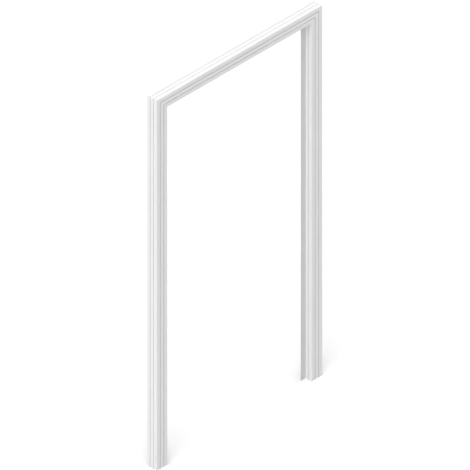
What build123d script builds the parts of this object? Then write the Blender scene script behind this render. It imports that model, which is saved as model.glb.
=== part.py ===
from build123d import *
import os

# Aluminium door frame: two jambs and a head cut from one hollow extrusion and mitred at
# the top corners, with a thin stop blade keyed into the inner side all the way round.
# X runs across the doorway, Y from the front face to the rear face, Z up from the floor.
# The origin is on the floor, midway between the jambs and midway through the depth.
# A place across a member is measured from its outer side, the one that faces the wall.
# A place through a member is measured from its front face. Sizes are in millimetres.

# Overall size
frame_width = 1090
frame_height = 2110
frame_depth = 65
face_width = 70

# Walls of the extrusion
wall = 2.0
web_thickness = 1.8
channel_wall = 1.6
outer_radius = 0.6

# Narrow, deep shadow lines that run round the front and rear faces
shadow_line_pitch = 23.3
shadow_line_width = 2.6
shadow_line_depth = 5.0

# Shallow grooves along the sides: two on the outer side, one on the inner side
side_groove_pitch = 21.7
side_groove_width = 4.6
side_groove_depth = 1.8

# Stop blade, and the undercut slot that holds its foot. The fillet share is how much of
# the metal beside it a fillet of the blade may take.
rebate_depth = 39.2
stop_projection = 32
stop_thickness = 1.6
stop_root_radius = 0.6
stop_fillet_share = 0.9
slot_mouth = 4.0
slot_lip = 1.8
slot_width = 9.0
slot_depth = 4.0
slot_clearance = 0.2

# Corner cleats, one in the front chamber and one in the rear chamber of each top corner
seat_clearance = 0.2
cleat_flange = 4.0
cleat_diagonal = 4.0
cleat_outer_chamfer = 5.0
cleat_end_radius = 3.0
cleat_rib = 12

# Pins that lock the cleats, driven in through the floor of the outer grooves. The first
# stands off from the cleat's inner corner. The cover is the least metal beside a pin.
pin_diameter = 4.0
pin_length = 16
pin_chamfer = 0.5
pin_clearance = 0.1
pin_cover = 4.0
pin_setback = 20
pin_pitch = 28

# Alignment angles that keep the mitred faces flush, and the lips that hold them. The
# reach is how far an arm runs past the inner corner of its slot.
angle_thickness = 2.0
angle_reach = 48
angle_end_radius = 4.0
angle_lip_reach = 3.0
angle_lip_thickness = 1.4

# Places through the depth
groove_depths = (
    frame_depth / 2 - side_groove_pitch / 2,
    frame_depth / 2 + side_groove_pitch / 2,
)
stop_depth = rebate_depth + stop_thickness / 2
line_floor = shadow_line_depth + channel_wall
lip_start = wall + angle_thickness + seat_clearance
lip_end = lip_start + angle_lip_thickness
front_seat = max(line_floor, lip_end)
rear_seat = frame_depth - front_seat

# The web meets the front of the slot's channel, as far as both rows of pins leave room
pin_room = pin_diameter / 2 + pin_cover
slot_channel_front = stop_depth - slot_width / 2 - channel_wall
web_limits = (groove_depths[0] + pin_room, groove_depths[1] - pin_room - web_thickness)
web_front = min(max(slot_channel_front, web_limits[0]), web_limits[1])
web_rear = web_front + web_thickness

# Places across the face
line_places = (
    face_width / 2 - shadow_line_pitch / 2,
    face_width / 2 + shadow_line_pitch / 2,
)
outer_seat = side_groove_depth + channel_wall
inner_seat = face_width - max(side_groove_depth, slot_depth) - channel_wall
inner_channel_floor = face_width - side_groove_depth - channel_wall
cleat_outer = outer_seat + seat_clearance
cleat_inner = inner_seat - seat_clearance
pin_places = (cleat_inner + pin_setback, cleat_inner + pin_setback + pin_pitch)
angle_slot_start = line_places[0] + shadow_line_width / 2 + channel_wall
angle_slot_end = line_places[1] - shadow_line_width / 2 - channel_wall

# Work planes
front_y = -frame_depth / 2
foot_plane = Plane(
    origin=(-frame_width / 2, front_y, 0), x_dir=(1, 0, 0), z_dir=(0, 0, 1)
)
head_plane = Plane(
    origin=(-frame_width / 2, front_y, frame_height), x_dir=(0, 0, -1), z_dir=(1, 0, 0)
)
left_mitre = Plane(origin=(-frame_width / 2, 0, frame_height), z_dir=(1, 0, 1))
right_mitre = Plane(origin=(frame_width / 2, 0, frame_height), z_dir=(-1, 0, 1))


def corner_plane(depth):
    """The left top corner seen from the front: x across from the outer side, y down."""
    return Plane(
        origin=(-frame_width / 2, front_y + depth, frame_height),
        x_dir=(1, 0, 0),
        z_dir=(0, 1, 0),
    )


def jamb_groove_floor(depth):
    """Floor of an outer groove of the left jamb: x down from the top, z into the jamb."""
    return Plane(
        origin=(-frame_width / 2 + side_groove_depth, front_y + depth, frame_height),
        x_dir=(0, 0, -1),
        z_dir=(1, 0, 0),
    )


def head_groove_floor(depth, side):
    """Floor of an outer groove of the head: x in from one end, z down into the head."""
    return Plane(
        origin=(side * frame_width / 2, front_y + depth, frame_height - side_groove_depth),
        x_dir=(-side, 0, 0),
        z_dir=(0, 0, -1),
    )


def block(across, through, mode=Mode.ADD):
    """A rectangle in a section, given as (low, high) across and (low, high) through."""
    with Locations((across[0], through[0])):
        Rectangle(
            across[1] - across[0],
            through[1] - through[0],
            align=(Align.MIN, Align.MIN),
            mode=mode,
        )


def around(centre, width):
    """The (low, high) pair of a width that is centred on a place."""
    return (centre - width / 2, centre + width / 2)


def mirrored(through):
    """The same (low, high) pair measured from the rear face."""
    return (frame_depth - through[1], frame_depth - through[0])


# The two hollow chambers: the inside of the walls, less the web, the channels that carry
# the grooves, two ribs that guide the front cleat and the lips that hold the alignment
# angles
with BuildSketch() as chambers:
    block((wall, face_width - wall), (wall, frame_depth - wall))
    block((0, face_width), (web_front, web_rear), Mode.SUBTRACT)
    for place in line_places:
        channel = around(place, shadow_line_width + 2 * channel_wall)
        for through in ((0, line_floor), mirrored((0, line_floor))):
            block(channel, through, Mode.SUBTRACT)
    for depth in groove_depths:
        channel = around(depth, side_groove_width + 2 * channel_wall)
        block((0, outer_seat), channel, Mode.SUBTRACT)
    inner_channel = around(groove_depths[0], side_groove_width + 2 * channel_wall)
    block((inner_channel_floor, face_width), inner_channel, Mode.SUBTRACT)
    for rib_start in (inner_channel[0], inner_channel[1] - channel_wall):
        rib = (rib_start, rib_start + channel_wall)
        block((inner_seat, face_width), rib, Mode.SUBTRACT)
    slot_channel = around(stop_depth, slot_width + 2 * channel_wall)
    block((inner_seat, face_width), slot_channel, Mode.SUBTRACT)
    for through in ((lip_start, lip_end), mirrored((lip_start, lip_end))):
        block((angle_slot_start, angle_slot_start + angle_lip_reach), through, Mode.SUBTRACT)
        block((angle_slot_end - angle_lip_reach, angle_slot_end), through, Mode.SUBTRACT)

# Cross-section of the jambs and the head: x from the outer side, y from the front face
with BuildSketch() as member_section:
    block((0, face_width), (0, frame_depth))
    fillet(member_section.vertices(), outer_radius)
    for place in line_places:
        line = around(place, shadow_line_width)
        for through in ((0, shadow_line_depth), mirrored((0, shadow_line_depth))):
            block(line, through, Mode.SUBTRACT)
    for depth in groove_depths:
        block((0, side_groove_depth), around(depth, side_groove_width), Mode.SUBTRACT)
    inner_groove = around(groove_depths[0], side_groove_width)
    block((face_width - side_groove_depth, face_width), inner_groove, Mode.SUBTRACT)
    block((face_width - slot_lip, face_width), around(stop_depth, slot_mouth), Mode.SUBTRACT)
    block(
        (face_width - slot_depth, face_width - slot_lip),
        around(stop_depth, slot_width),
        Mode.SUBTRACT,
    )
    add(chambers.sketch, mode=Mode.SUBTRACT)

# Cross-section of the stop: a foot behind the slot's lips, a neck between them, and a
# blade with a round root and a round tip
with BuildSketch() as stop_section:
    foot_start = face_width - slot_depth + slot_clearance
    block(
        (foot_start, face_width - slot_lip),
        around(stop_depth, slot_width - 2 * slot_clearance),
    )
    block(
        (face_width - slot_lip, face_width),
        around(stop_depth, slot_mouth - 2 * slot_clearance),
    )
    block((face_width, face_width + stop_projection), around(stop_depth, stop_thickness))
    shoulder = slot_mouth / 2 - slot_clearance - stop_thickness / 2
    root = stop_section.vertices().group_by(Axis.X)[-2].sort_by(Axis.Y)[1:3]
    fillet(root, min(stop_root_radius, shoulder * stop_fillet_share))
    tip = stop_section.vertices().group_by(Axis.X)[-1]
    fillet(tip, stop_thickness / 2 * stop_fillet_share)


def drill_pin_holes(floors, depth):
    """Holes for the pins of one corner, sunk to a depth below each groove floor."""
    for floor in floors:
        with BuildSketch(floor) as holes:
            with Locations([(place, 0) for place in pin_places]):
                Circle(pin_diameter / 2 + pin_clearance)
        extrude(holes.sketch, amount=depth, mode=Mode.SUBTRACT)


# Jambs: square at the foot, mitred at the top
with BuildPart() as left_jamb:
    with BuildSketch(foot_plane):
        add(member_section.sketch)
    extrude(amount=frame_height)
    split(bisect_by=left_mitre, keep=Keep.BOTTOM)
    drill_pin_holes([jamb_groove_floor(depth) for depth in groove_depths], channel_wall)

with BuildPart() as right_jamb:
    mirror(left_jamb.part, about=Plane.YZ)

# Head: mitred at both ends
with BuildPart() as head:
    with BuildSketch(head_plane):
        add(member_section.sketch)
    extrude(amount=frame_width)
    split(bisect_by=left_mitre, keep=Keep.TOP)
    split(bisect_by=right_mitre, keep=Keep.TOP)
    for side in (-1, 1):
        floors = [head_groove_floor(depth, side) for depth in groove_depths]
        drill_pin_holes(floors, channel_wall)

# Stop blades, mitred with the members that hold them
with BuildPart() as left_stop:
    with BuildSketch(foot_plane):
        add(stop_section.sketch)
    extrude(amount=frame_height)
    split(bisect_by=left_mitre, keep=Keep.BOTTOM)

with BuildPart() as right_stop:
    mirror(left_stop.part, about=Plane.YZ)

with BuildPart() as head_stop:
    with BuildSketch(head_plane):
        add(stop_section.sketch)
    extrude(amount=frame_width)
    split(bisect_by=left_mitre, keep=Keep.TOP)
    split(bisect_by=right_mitre, keep=Keep.TOP)

# Profile of a corner cleat in the corner plane. The arms are alike, so one is drawn and
# the other is its mirror image in the mitre.
cleat_end = pin_places[-1] + cleat_rib / 2
mitre_line = Plane(origin=(0, 0, 0), z_dir=(1, -1, 0))

with BuildSketch() as cleat_pockets:
    pocket_low = cleat_outer + cleat_flange
    pocket_high = cleat_inner - cleat_flange
    diagonal_offset = cleat_diagonal / 2**0.5
    with BuildLine():
        Polyline(
            (pocket_low + diagonal_offset, pocket_low),
            (pocket_high, pocket_low),
            (pocket_high, pocket_high - diagonal_offset),
            close=True,
        )
    make_face()
    start = cleat_inner
    for place in pin_places:
        block((start, place - cleat_rib / 2), (pocket_low, pocket_high))
        start = place + cleat_rib / 2
    mirror(about=mitre_line)

with BuildSketch() as cleat_profile:
    block((cleat_outer, cleat_end), (cleat_outer, cleat_inner))
    block((cleat_outer, cleat_inner), (cleat_outer, cleat_end))
    tips = cleat_profile.vertices().group_by(Axis.X)[-1]
    tips += cleat_profile.vertices().group_by(Axis.Y)[-1]
    fillet(tips, cleat_end_radius)
    outer_corner = cleat_profile.vertices().sort_by_distance((0, 0, 0))[0]
    chamfer(outer_corner, cleat_outer_chamfer)
    add(cleat_pockets.sketch, mode=Mode.SUBTRACT)


def make_cleat(front, rear, groove_depth):
    """A cleat between two depths, bored for the pins of the groove over it."""
    with BuildPart() as cleat:
        with BuildSketch(corner_plane(front)):
            add(cleat_profile.sketch)
        extrude(amount=rear - front)
        floors = (jamb_groove_floor(groove_depth), head_groove_floor(groove_depth, -1))
        drill_pin_holes(floors, pin_length)
    return cleat.part


def make_pins(groove_depth):
    """The four pins of one cleat, two in each arm, flush with the groove's floor."""
    with BuildPart() as pins:
        for floor in (jamb_groove_floor(groove_depth), head_groove_floor(groove_depth, -1)):
            with BuildSketch(floor):
                with Locations([(place, 0) for place in pin_places]):
                    Circle(pin_diameter / 2)
            extrude(amount=pin_length)
            into_member = Axis(floor.origin, floor.z_dir)
            tips = pins.faces(Select.LAST).group_by(into_member)[-1]
            chamfer(tips.edges(), pin_chamfer)
    return pins.part


def make_alignment_angle(front):
    """A flat plate angle that slides into the slots behind a sight face."""
    low = angle_slot_start + seat_clearance
    high = angle_slot_end - seat_clearance
    end = angle_slot_end + angle_reach
    with BuildPart() as angle:
        with BuildSketch(corner_plane(front)) as outline:
            block((low, end), (low, high))
            block((low, high), (low, end))
            tips = outline.vertices().group_by(Axis.X)[-1]
            tips += outline.vertices().group_by(Axis.Y)[-1]
            fillet(tips, angle_end_radius)
        extrude(amount=angle_thickness)
    return angle.part


front_cleat = make_cleat(front_seat + seat_clearance, web_front, groove_depths[0])
rear_cleat = make_cleat(web_rear, rear_seat - seat_clearance, groove_depths[1])

left_pieces = {
    "front_cleat": front_cleat,
    "rear_cleat": rear_cleat,
    "front_cleat_pins": make_pins(groove_depths[0]),
    "rear_cleat_pins": make_pins(groove_depths[1]),
    "front_alignment_angle": make_alignment_angle(wall),
    "rear_alignment_angle": make_alignment_angle(frame_depth - wall - angle_thickness),
}

pieces = {
    "left_jamb": left_jamb.part,
    "right_jamb": right_jamb.part,
    "head": head.part,
    "left_stop": left_stop.part,
    "right_stop": right_stop.part,
    "head_stop": head_stop.part,
}
for name, piece in left_pieces.items():
    pieces["left_" + name] = piece
    with BuildPart() as twin:
        mirror(piece, about=Plane.YZ)
    pieces["right_" + name] = twin.part

os.makedirs("parts", exist_ok=True)
for name, piece in pieces.items():
    piece.label = name
    export_step(piece, f"parts/{name}.step")
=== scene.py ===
import math

import bpy
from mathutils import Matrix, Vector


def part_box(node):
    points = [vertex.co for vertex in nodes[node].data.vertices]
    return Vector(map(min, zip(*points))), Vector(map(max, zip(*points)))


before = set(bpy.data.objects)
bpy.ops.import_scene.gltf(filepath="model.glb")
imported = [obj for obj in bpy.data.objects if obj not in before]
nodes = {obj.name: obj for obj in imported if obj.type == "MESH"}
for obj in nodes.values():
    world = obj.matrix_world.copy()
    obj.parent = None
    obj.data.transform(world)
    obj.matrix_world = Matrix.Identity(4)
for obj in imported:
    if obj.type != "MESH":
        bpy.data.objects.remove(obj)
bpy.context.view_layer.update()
bpy.ops.object.select_all(action="DESELECT")
print("frame loaded:", len(nodes), "nodes")


# Helpers shared by all the finishes

def startMaterial(name):
    material = bpy.data.materials.new(name)
    material.use_nodes = True
    tree = material.node_tree
    tree.nodes.clear()
    output = tree.nodes.new("ShaderNodeOutputMaterial")
    shader = tree.nodes.new("ShaderNodeBsdfPrincipled")
    tree.links.new(shader.outputs["BSDF"], output.inputs["Surface"])
    return material, tree, shader


def addNoise(tree, stretch, detail, roughness=0.5):
    # stretch is the number of noise cells in a metre along X, Y and Z
    place = tree.nodes.new("ShaderNodeTexCoord")
    mapping = tree.nodes.new("ShaderNodeMapping")
    mapping.inputs["Scale"].default_value = stretch
    noise = tree.nodes.new("ShaderNodeTexNoise")
    noise.inputs["Scale"].default_value = 1.0
    noise.inputs["Detail"].default_value = detail
    noise.inputs["Roughness"].default_value = roughness
    tree.links.new(place.outputs["Object"], mapping.inputs["Vector"])
    tree.links.new(mapping.outputs["Vector"], noise.inputs["Vector"])
    return noise.outputs["Fac"]


def addRange(tree, value, low, high, fromLow=0.3, fromHigh=0.7):
    # most of a noise lies between 0.3 and 0.7
    spread = tree.nodes.new("ShaderNodeMapRange")
    spread.inputs["From Min"].default_value = fromLow
    spread.inputs["From Max"].default_value = fromHigh
    spread.inputs["To Min"].default_value = low
    spread.inputs["To Max"].default_value = high
    tree.links.new(value, spread.inputs["Value"])
    return spread.outputs["Result"]


def addMath(tree, operation, *values):
    step = tree.nodes.new("ShaderNodeMath")
    step.operation = operation
    for socket, value in zip(step.inputs, values):
        if isinstance(value, (int, float)):
            socket.default_value = value
        else:
            tree.links.new(value, socket)
    return step.outputs["Value"]


def addGrey(tree, value):
    combine = tree.nodes.new("ShaderNodeCombineColor")
    for channel in ("Red", "Green", "Blue"):
        tree.links.new(value, combine.inputs[channel])
    return combine.outputs["Color"]


def addBump(tree, shader, height, look):
    bump = tree.nodes.new("ShaderNodeBump")
    bump.inputs["Strength"].default_value = look["bumpStrength"]
    bump.inputs["Distance"].default_value = look["bumpDepth"]
    tree.links.new(height, bump.inputs["Height"])
    tree.links.new(bump.outputs["Normal"], shader.inputs["Normal"])


def assignFinish(material, nodeNames):
    for nodeName in nodeNames:
        for slot in nodes[nodeName].material_slots:
            slot.material = material


# Matt anodised aluminium with die lines along the length of the extrusion. It is painted
# darker down in the grooves: painted shade, for the light that reaches less far in there.

profileLook = {
    "tone": 0.80,
    "lineTone": 0.016,
    "driftTone": 0.008,
    "metal": 0.20,
    "roughness": 0.55,
    "lineRoughness": 0.05,
    "linesPerMetre": 1500.0,
    "lineCellsAlong": 1.2,
    "lineDetail": 3.0,
    "lineBreakup": 0.6,
    "driftPerMetre": 2.6,
    "driftCrowding": 4,  # how many times closer the drift is across the length than along it
    "driftDetail": 2.0,
    "grainPerMetre": 5200.0,
    "grainDetail": 1.0,
    "grainHeight": 0.5,  # as a share of the die lines' height
    "bumpStrength": 0.10,
    "bumpDepth": 0.00006,
    # painted shade: down in the grooves the tone falls to this share over the reaches below
    "paintedGrooveShade": 0.46,
    "faceShadeReach": 0.0022,  # how far down the narrow lines of the front and rear the tone drops
    "sideShadeReach": 0.0034,  # and down the shallow grooves of the sides
}

# The lamp above shines into the head's front lines, so they get a darker painted shade than the
# jambs', and its shallow grooves a lighter one. The blades are darker all over.
headLook = dict(profileLook, paintedGrooveShade=0.36, faceShadeReach=0.0016, sideShadeReach=0.0095)
stopLook = dict(profileLook, tone=0.63, roughness=0.58, linesPerMetre=1900.0)


def addPaintedGrooveShade(tree, look, box, acrossAxis):
    # box is one member's. Grooves lie inside its outer faces, by up to their depth; shade is
    # painted in by that depth.
    place = tree.nodes.new("ShaderNodeTexCoord")
    split = tree.nodes.new("ShaderNodeSeparateXYZ")
    tree.links.new(place.outputs["Object"], split.inputs["Vector"])
    depths = []
    for axis, reach in ((acrossAxis, look["sideShadeReach"]), ("Y", look["faceShadeReach"])):
        low, high = (corner["XYZ".index(axis)] for corner in box)
        middle, half = abs(low + high) / 2, (high - low) / 2
        spot = split.outputs[axis]
        if axis == "X":
            spot = addMath(tree, "ABSOLUTE", spot)  # both jambs at once
        away = addMath(tree, "ABSOLUTE", addMath(tree, "SUBTRACT", spot, middle))
        depth = addMath(tree, "SUBTRACT", half, away)
        depths.append(addMath(tree, "DIVIDE", depth, reach))
    return addRange(tree, addMath(tree, "MINIMUM", *depths), 1.0, look["paintedGrooveShade"], 0.0, 1.0)


def anodisedFinish(name, look, lengthAxis, grooves=None):
    material, tree, shader = startMaterial(name)
    lineStretch = [look["linesPerMetre"]] * 3
    lineStretch["XYZ".index(lengthAxis)] = look["lineCellsAlong"]
    driftStretch = [look["driftPerMetre"] * look["driftCrowding"]] * 3
    driftStretch["XYZ".index(lengthAxis)] = look["driftPerMetre"]
    grainStretch = [look["grainPerMetre"]] * 3
    lines = addNoise(tree, lineStretch, look["lineDetail"], look["lineBreakup"])
    drift = addNoise(tree, driftStretch, look["driftDetail"])
    grain = addNoise(tree, grainStretch, look["grainDetail"])
    lineShade = addRange(tree, lines, -look["lineTone"], look["lineTone"])
    driftShade = addRange(tree, drift, -look["driftTone"], look["driftTone"])
    tone = addMath(tree, "ADD", lineShade, driftShade)
    tone = addMath(tree, "ADD", tone, look["tone"])
    # painted shade down in the grooves and lines
    if grooves:
        tone = addMath(tree, "MULTIPLY", tone, addPaintedGrooveShade(tree, look, *grooves))
    tree.links.new(addGrey(tree, tone), shader.inputs["Base Color"])
    roughLow = look["roughness"] - look["lineRoughness"]
    roughHigh = look["roughness"] + look["lineRoughness"]
    tree.links.new(addRange(tree, lines, roughLow, roughHigh), shader.inputs["Roughness"])
    shader.inputs["Metallic"].default_value = look["metal"]
    grainRelief = addMath(tree, "MULTIPLY", grain, look["grainHeight"])
    addBump(tree, shader, addMath(tree, "ADD", lines, grainRelief), look)
    return material


jambFinish = anodisedFinish("jambAnodised", profileLook, "Z", (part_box("right_jamb"), "X"))
headFinish = anodisedFinish("headAnodised", headLook, "X", (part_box("head"), "Z"))
assignFinish(jambFinish, ["left_jamb", "right_jamb"])
assignFinish(headFinish, ["head"])
assignFinish(anodisedFinish("jambStopAnodised", stopLook, "Z"), ["left_stop", "right_stop"])
assignFinish(anodisedFinish("headStopAnodised", stopLook, "X"), ["head_stop"])
print("anodised finishes on the members and the stops")


# Corner hardware, hidden in the chambers apart from the ends of the pins

sawnLook = {
    "markWidth": 0.05,  # as a share of a saw mark's length
    "markDetail": 4.0,
    "markBreakup": 0.65,
    "roughnessDrop": 0.06,
    "roughnessRise": 0.10,
    "bumpStrength": 0.3,
    "bumpDepth": 0.0001,
}
cleatLook = dict(sawnLook, tone=0.62, spread=0.05, metal=0.9, roughness=0.38, marksPerMetre=1800.0)
steelLook = dict(sawnLook, tone=0.50, spread=0.04, metal=1.0, roughness=0.33, marksPerMetre=2600.0)


def sawnFinish(name, look, cutAxis):
    material, tree, shader = startMaterial(name)
    stretch = [look["marksPerMetre"] * look["markWidth"]] * 3
    stretch["XYZ".index(cutAxis)] = look["marksPerMetre"]
    marks = addNoise(tree, stretch, look["markDetail"], look["markBreakup"])
    low, high = look["tone"] - look["spread"], look["tone"] + look["spread"]
    tree.links.new(addGrey(tree, addRange(tree, marks, low, high)), shader.inputs["Base Color"])
    roughLow = look["roughness"] - look["roughnessDrop"]
    roughHigh = look["roughness"] + look["roughnessRise"]
    tree.links.new(addRange(tree, marks, roughLow, roughHigh), shader.inputs["Roughness"])
    shader.inputs["Metallic"].default_value = look["metal"]
    addBump(tree, shader, marks, look)
    return material


cleatNodes = [name for name in nodes if name.endswith("cleat")]
pinNodes = [name for name in nodes if name.endswith("pins")]
angleNodes = [name for name in nodes if name.endswith("angle")]
assignFinish(sawnFinish("cleatSawn", cleatLook, "Z"), cleatNodes)
assignFinish(sawnFinish("pinSteel", steelLook, "Y"), pinNodes)
assignFinish(sawnFinish("angleSteel", steelLook, "X"), angleNodes)
print("corner hardware finished")


# Floor, white to the camera and in reflections, with the frame's soft shadow on it

floorLook = {
    "size": 120.0,
    "seenTone": 0.86,
    "bounceTone": 0.25,
    "speckle": 0.004,
    "specklesPerMetre": 40.0,
    "speckleDetail": 3.0,
    "roughness": 0.9,
}


def seenOrReflected(tree):
    # 1 for what the camera sees, itself or in a glossy surface, and 0 for bounced light
    lightPath = tree.nodes.new("ShaderNodeLightPath")
    rays = lightPath.outputs
    return addMath(tree, "MAXIMUM", rays["Is Camera Ray"], rays["Is Glossy Ray"])


def makeFloor():
    bpy.ops.mesh.primitive_plane_add(size=floorLook["size"], location=(0, 0, 0))
    floor = bpy.context.object
    floor.name = "studioFloor"
    material, tree, shader = startMaterial("floorPaint")
    noise = addNoise(tree, [floorLook["specklesPerMetre"]] * 3, floorLook["speckleDetail"])
    speckle = addRange(tree, noise, -floorLook["speckle"], floorLook["speckle"])
    bounce, seen = floorLook["bounceTone"], floorLook["seenTone"]
    tone = addRange(tree, seenOrReflected(tree), bounce, seen, 0.0, 1.0)
    tone = addMath(tree, "ADD", speckle, tone)
    tree.links.new(addGrey(tree, tone), shader.inputs["Base Color"])
    shader.inputs["Roughness"].default_value = floorLook["roughness"]
    shader.inputs["Specular IOR Level"].default_value = 0.0
    floor.data.materials.append(material)


makeFloor()
print("floor laid")


# Light: an even dome, a soft lamp above, a key lamp from the front left and two weaker
# lamps, from the right and from behind

lightLook = {
    "dome": 0.10,
    "lampHeight": 4,
    "top": {"strength": 1.95, "towards": (0.1, 0.2, -1.0), "softness": 60},
    "key": {"strength": 3.64, "towards": (1.0, 0.5, -0.25), "softness": 70},
    "fill": {"strength": 1.30, "towards": (-1.0, 0.15, -0.35), "softness": 60},
    "rear": {"strength": 1.30, "towards": (0.1, -1.0, -0.3), "softness": 60},
}


def setWorld():
    world = bpy.data.worlds.new("studioWorld")
    bpy.context.scene.world = world
    world.use_nodes = True
    tree = world.node_tree
    background = tree.nodes["Background"]
    background.inputs["Color"].default_value = (1, 1, 1, 1)
    strength = addRange(tree, seenOrReflected(tree), lightLook["dome"], 1.0, 0.0, 1.0)
    tree.links.new(strength, background.inputs["Strength"])


def addLamp(name):
    look = lightLook[name]
    bpy.ops.object.light_add(type="SUN", location=(0, 0, lightLook["lampHeight"]))
    lamp = bpy.context.object
    lamp.name = name + "Lamp"
    lamp.data.energy = look["strength"]
    lamp.data.angle = math.radians(look["softness"])
    lamp.visible_glossy = False  # the metal reflects the white room, not the lamps
    x, y, z = look["towards"]
    tilt = math.atan2(math.hypot(x, y), -z)
    turn = math.atan2(y, x) - math.pi / 2
    lamp.rotation_euler = (tilt, 0, turn)


setWorld()
for lampName in ("top", "key", "fill", "rear"):
    addLamp(lampName)
print("light set")


# Camera: a true isometric view from the front left

cameraLook = {
    "metresPerPixel": 0.004656,
    "pictureSide": 470,
    "across": 0.0019,  # metres from the origin to the picture's middle, to the right in the view
    "up": 0.8621,  # and upwards in the view
    "distance": 12.0,
    "clipEnd": 200.0,
    "elevation": math.atan(1 / math.sqrt(2)),
    "azimuth": math.radians(-45),
}


def addCamera():
    elevation, azimuth = cameraLook["elevation"], cameraLook["azimuth"]
    bpy.ops.object.camera_add(rotation=(math.pi / 2 - elevation, 0, azimuth))
    camera = bpy.context.object
    bpy.context.view_layer.update()
    turn = camera.matrix_world.to_3x3()
    offset = (cameraLook["across"], cameraLook["up"], cameraLook["distance"])
    camera.location = turn.col[0] * offset[0] + turn.col[1] * offset[1] + turn.col[2] * offset[2]
    camera.data.type = "ORTHO"
    camera.data.ortho_scale = cameraLook["metresPerPixel"] * cameraLook["pictureSide"]
    camera.data.clip_end = cameraLook["clipEnd"]
    bpy.context.scene.camera = camera


addCamera()
bpy.context.scene.view_settings.view_transform = "Standard"
print("camera set")
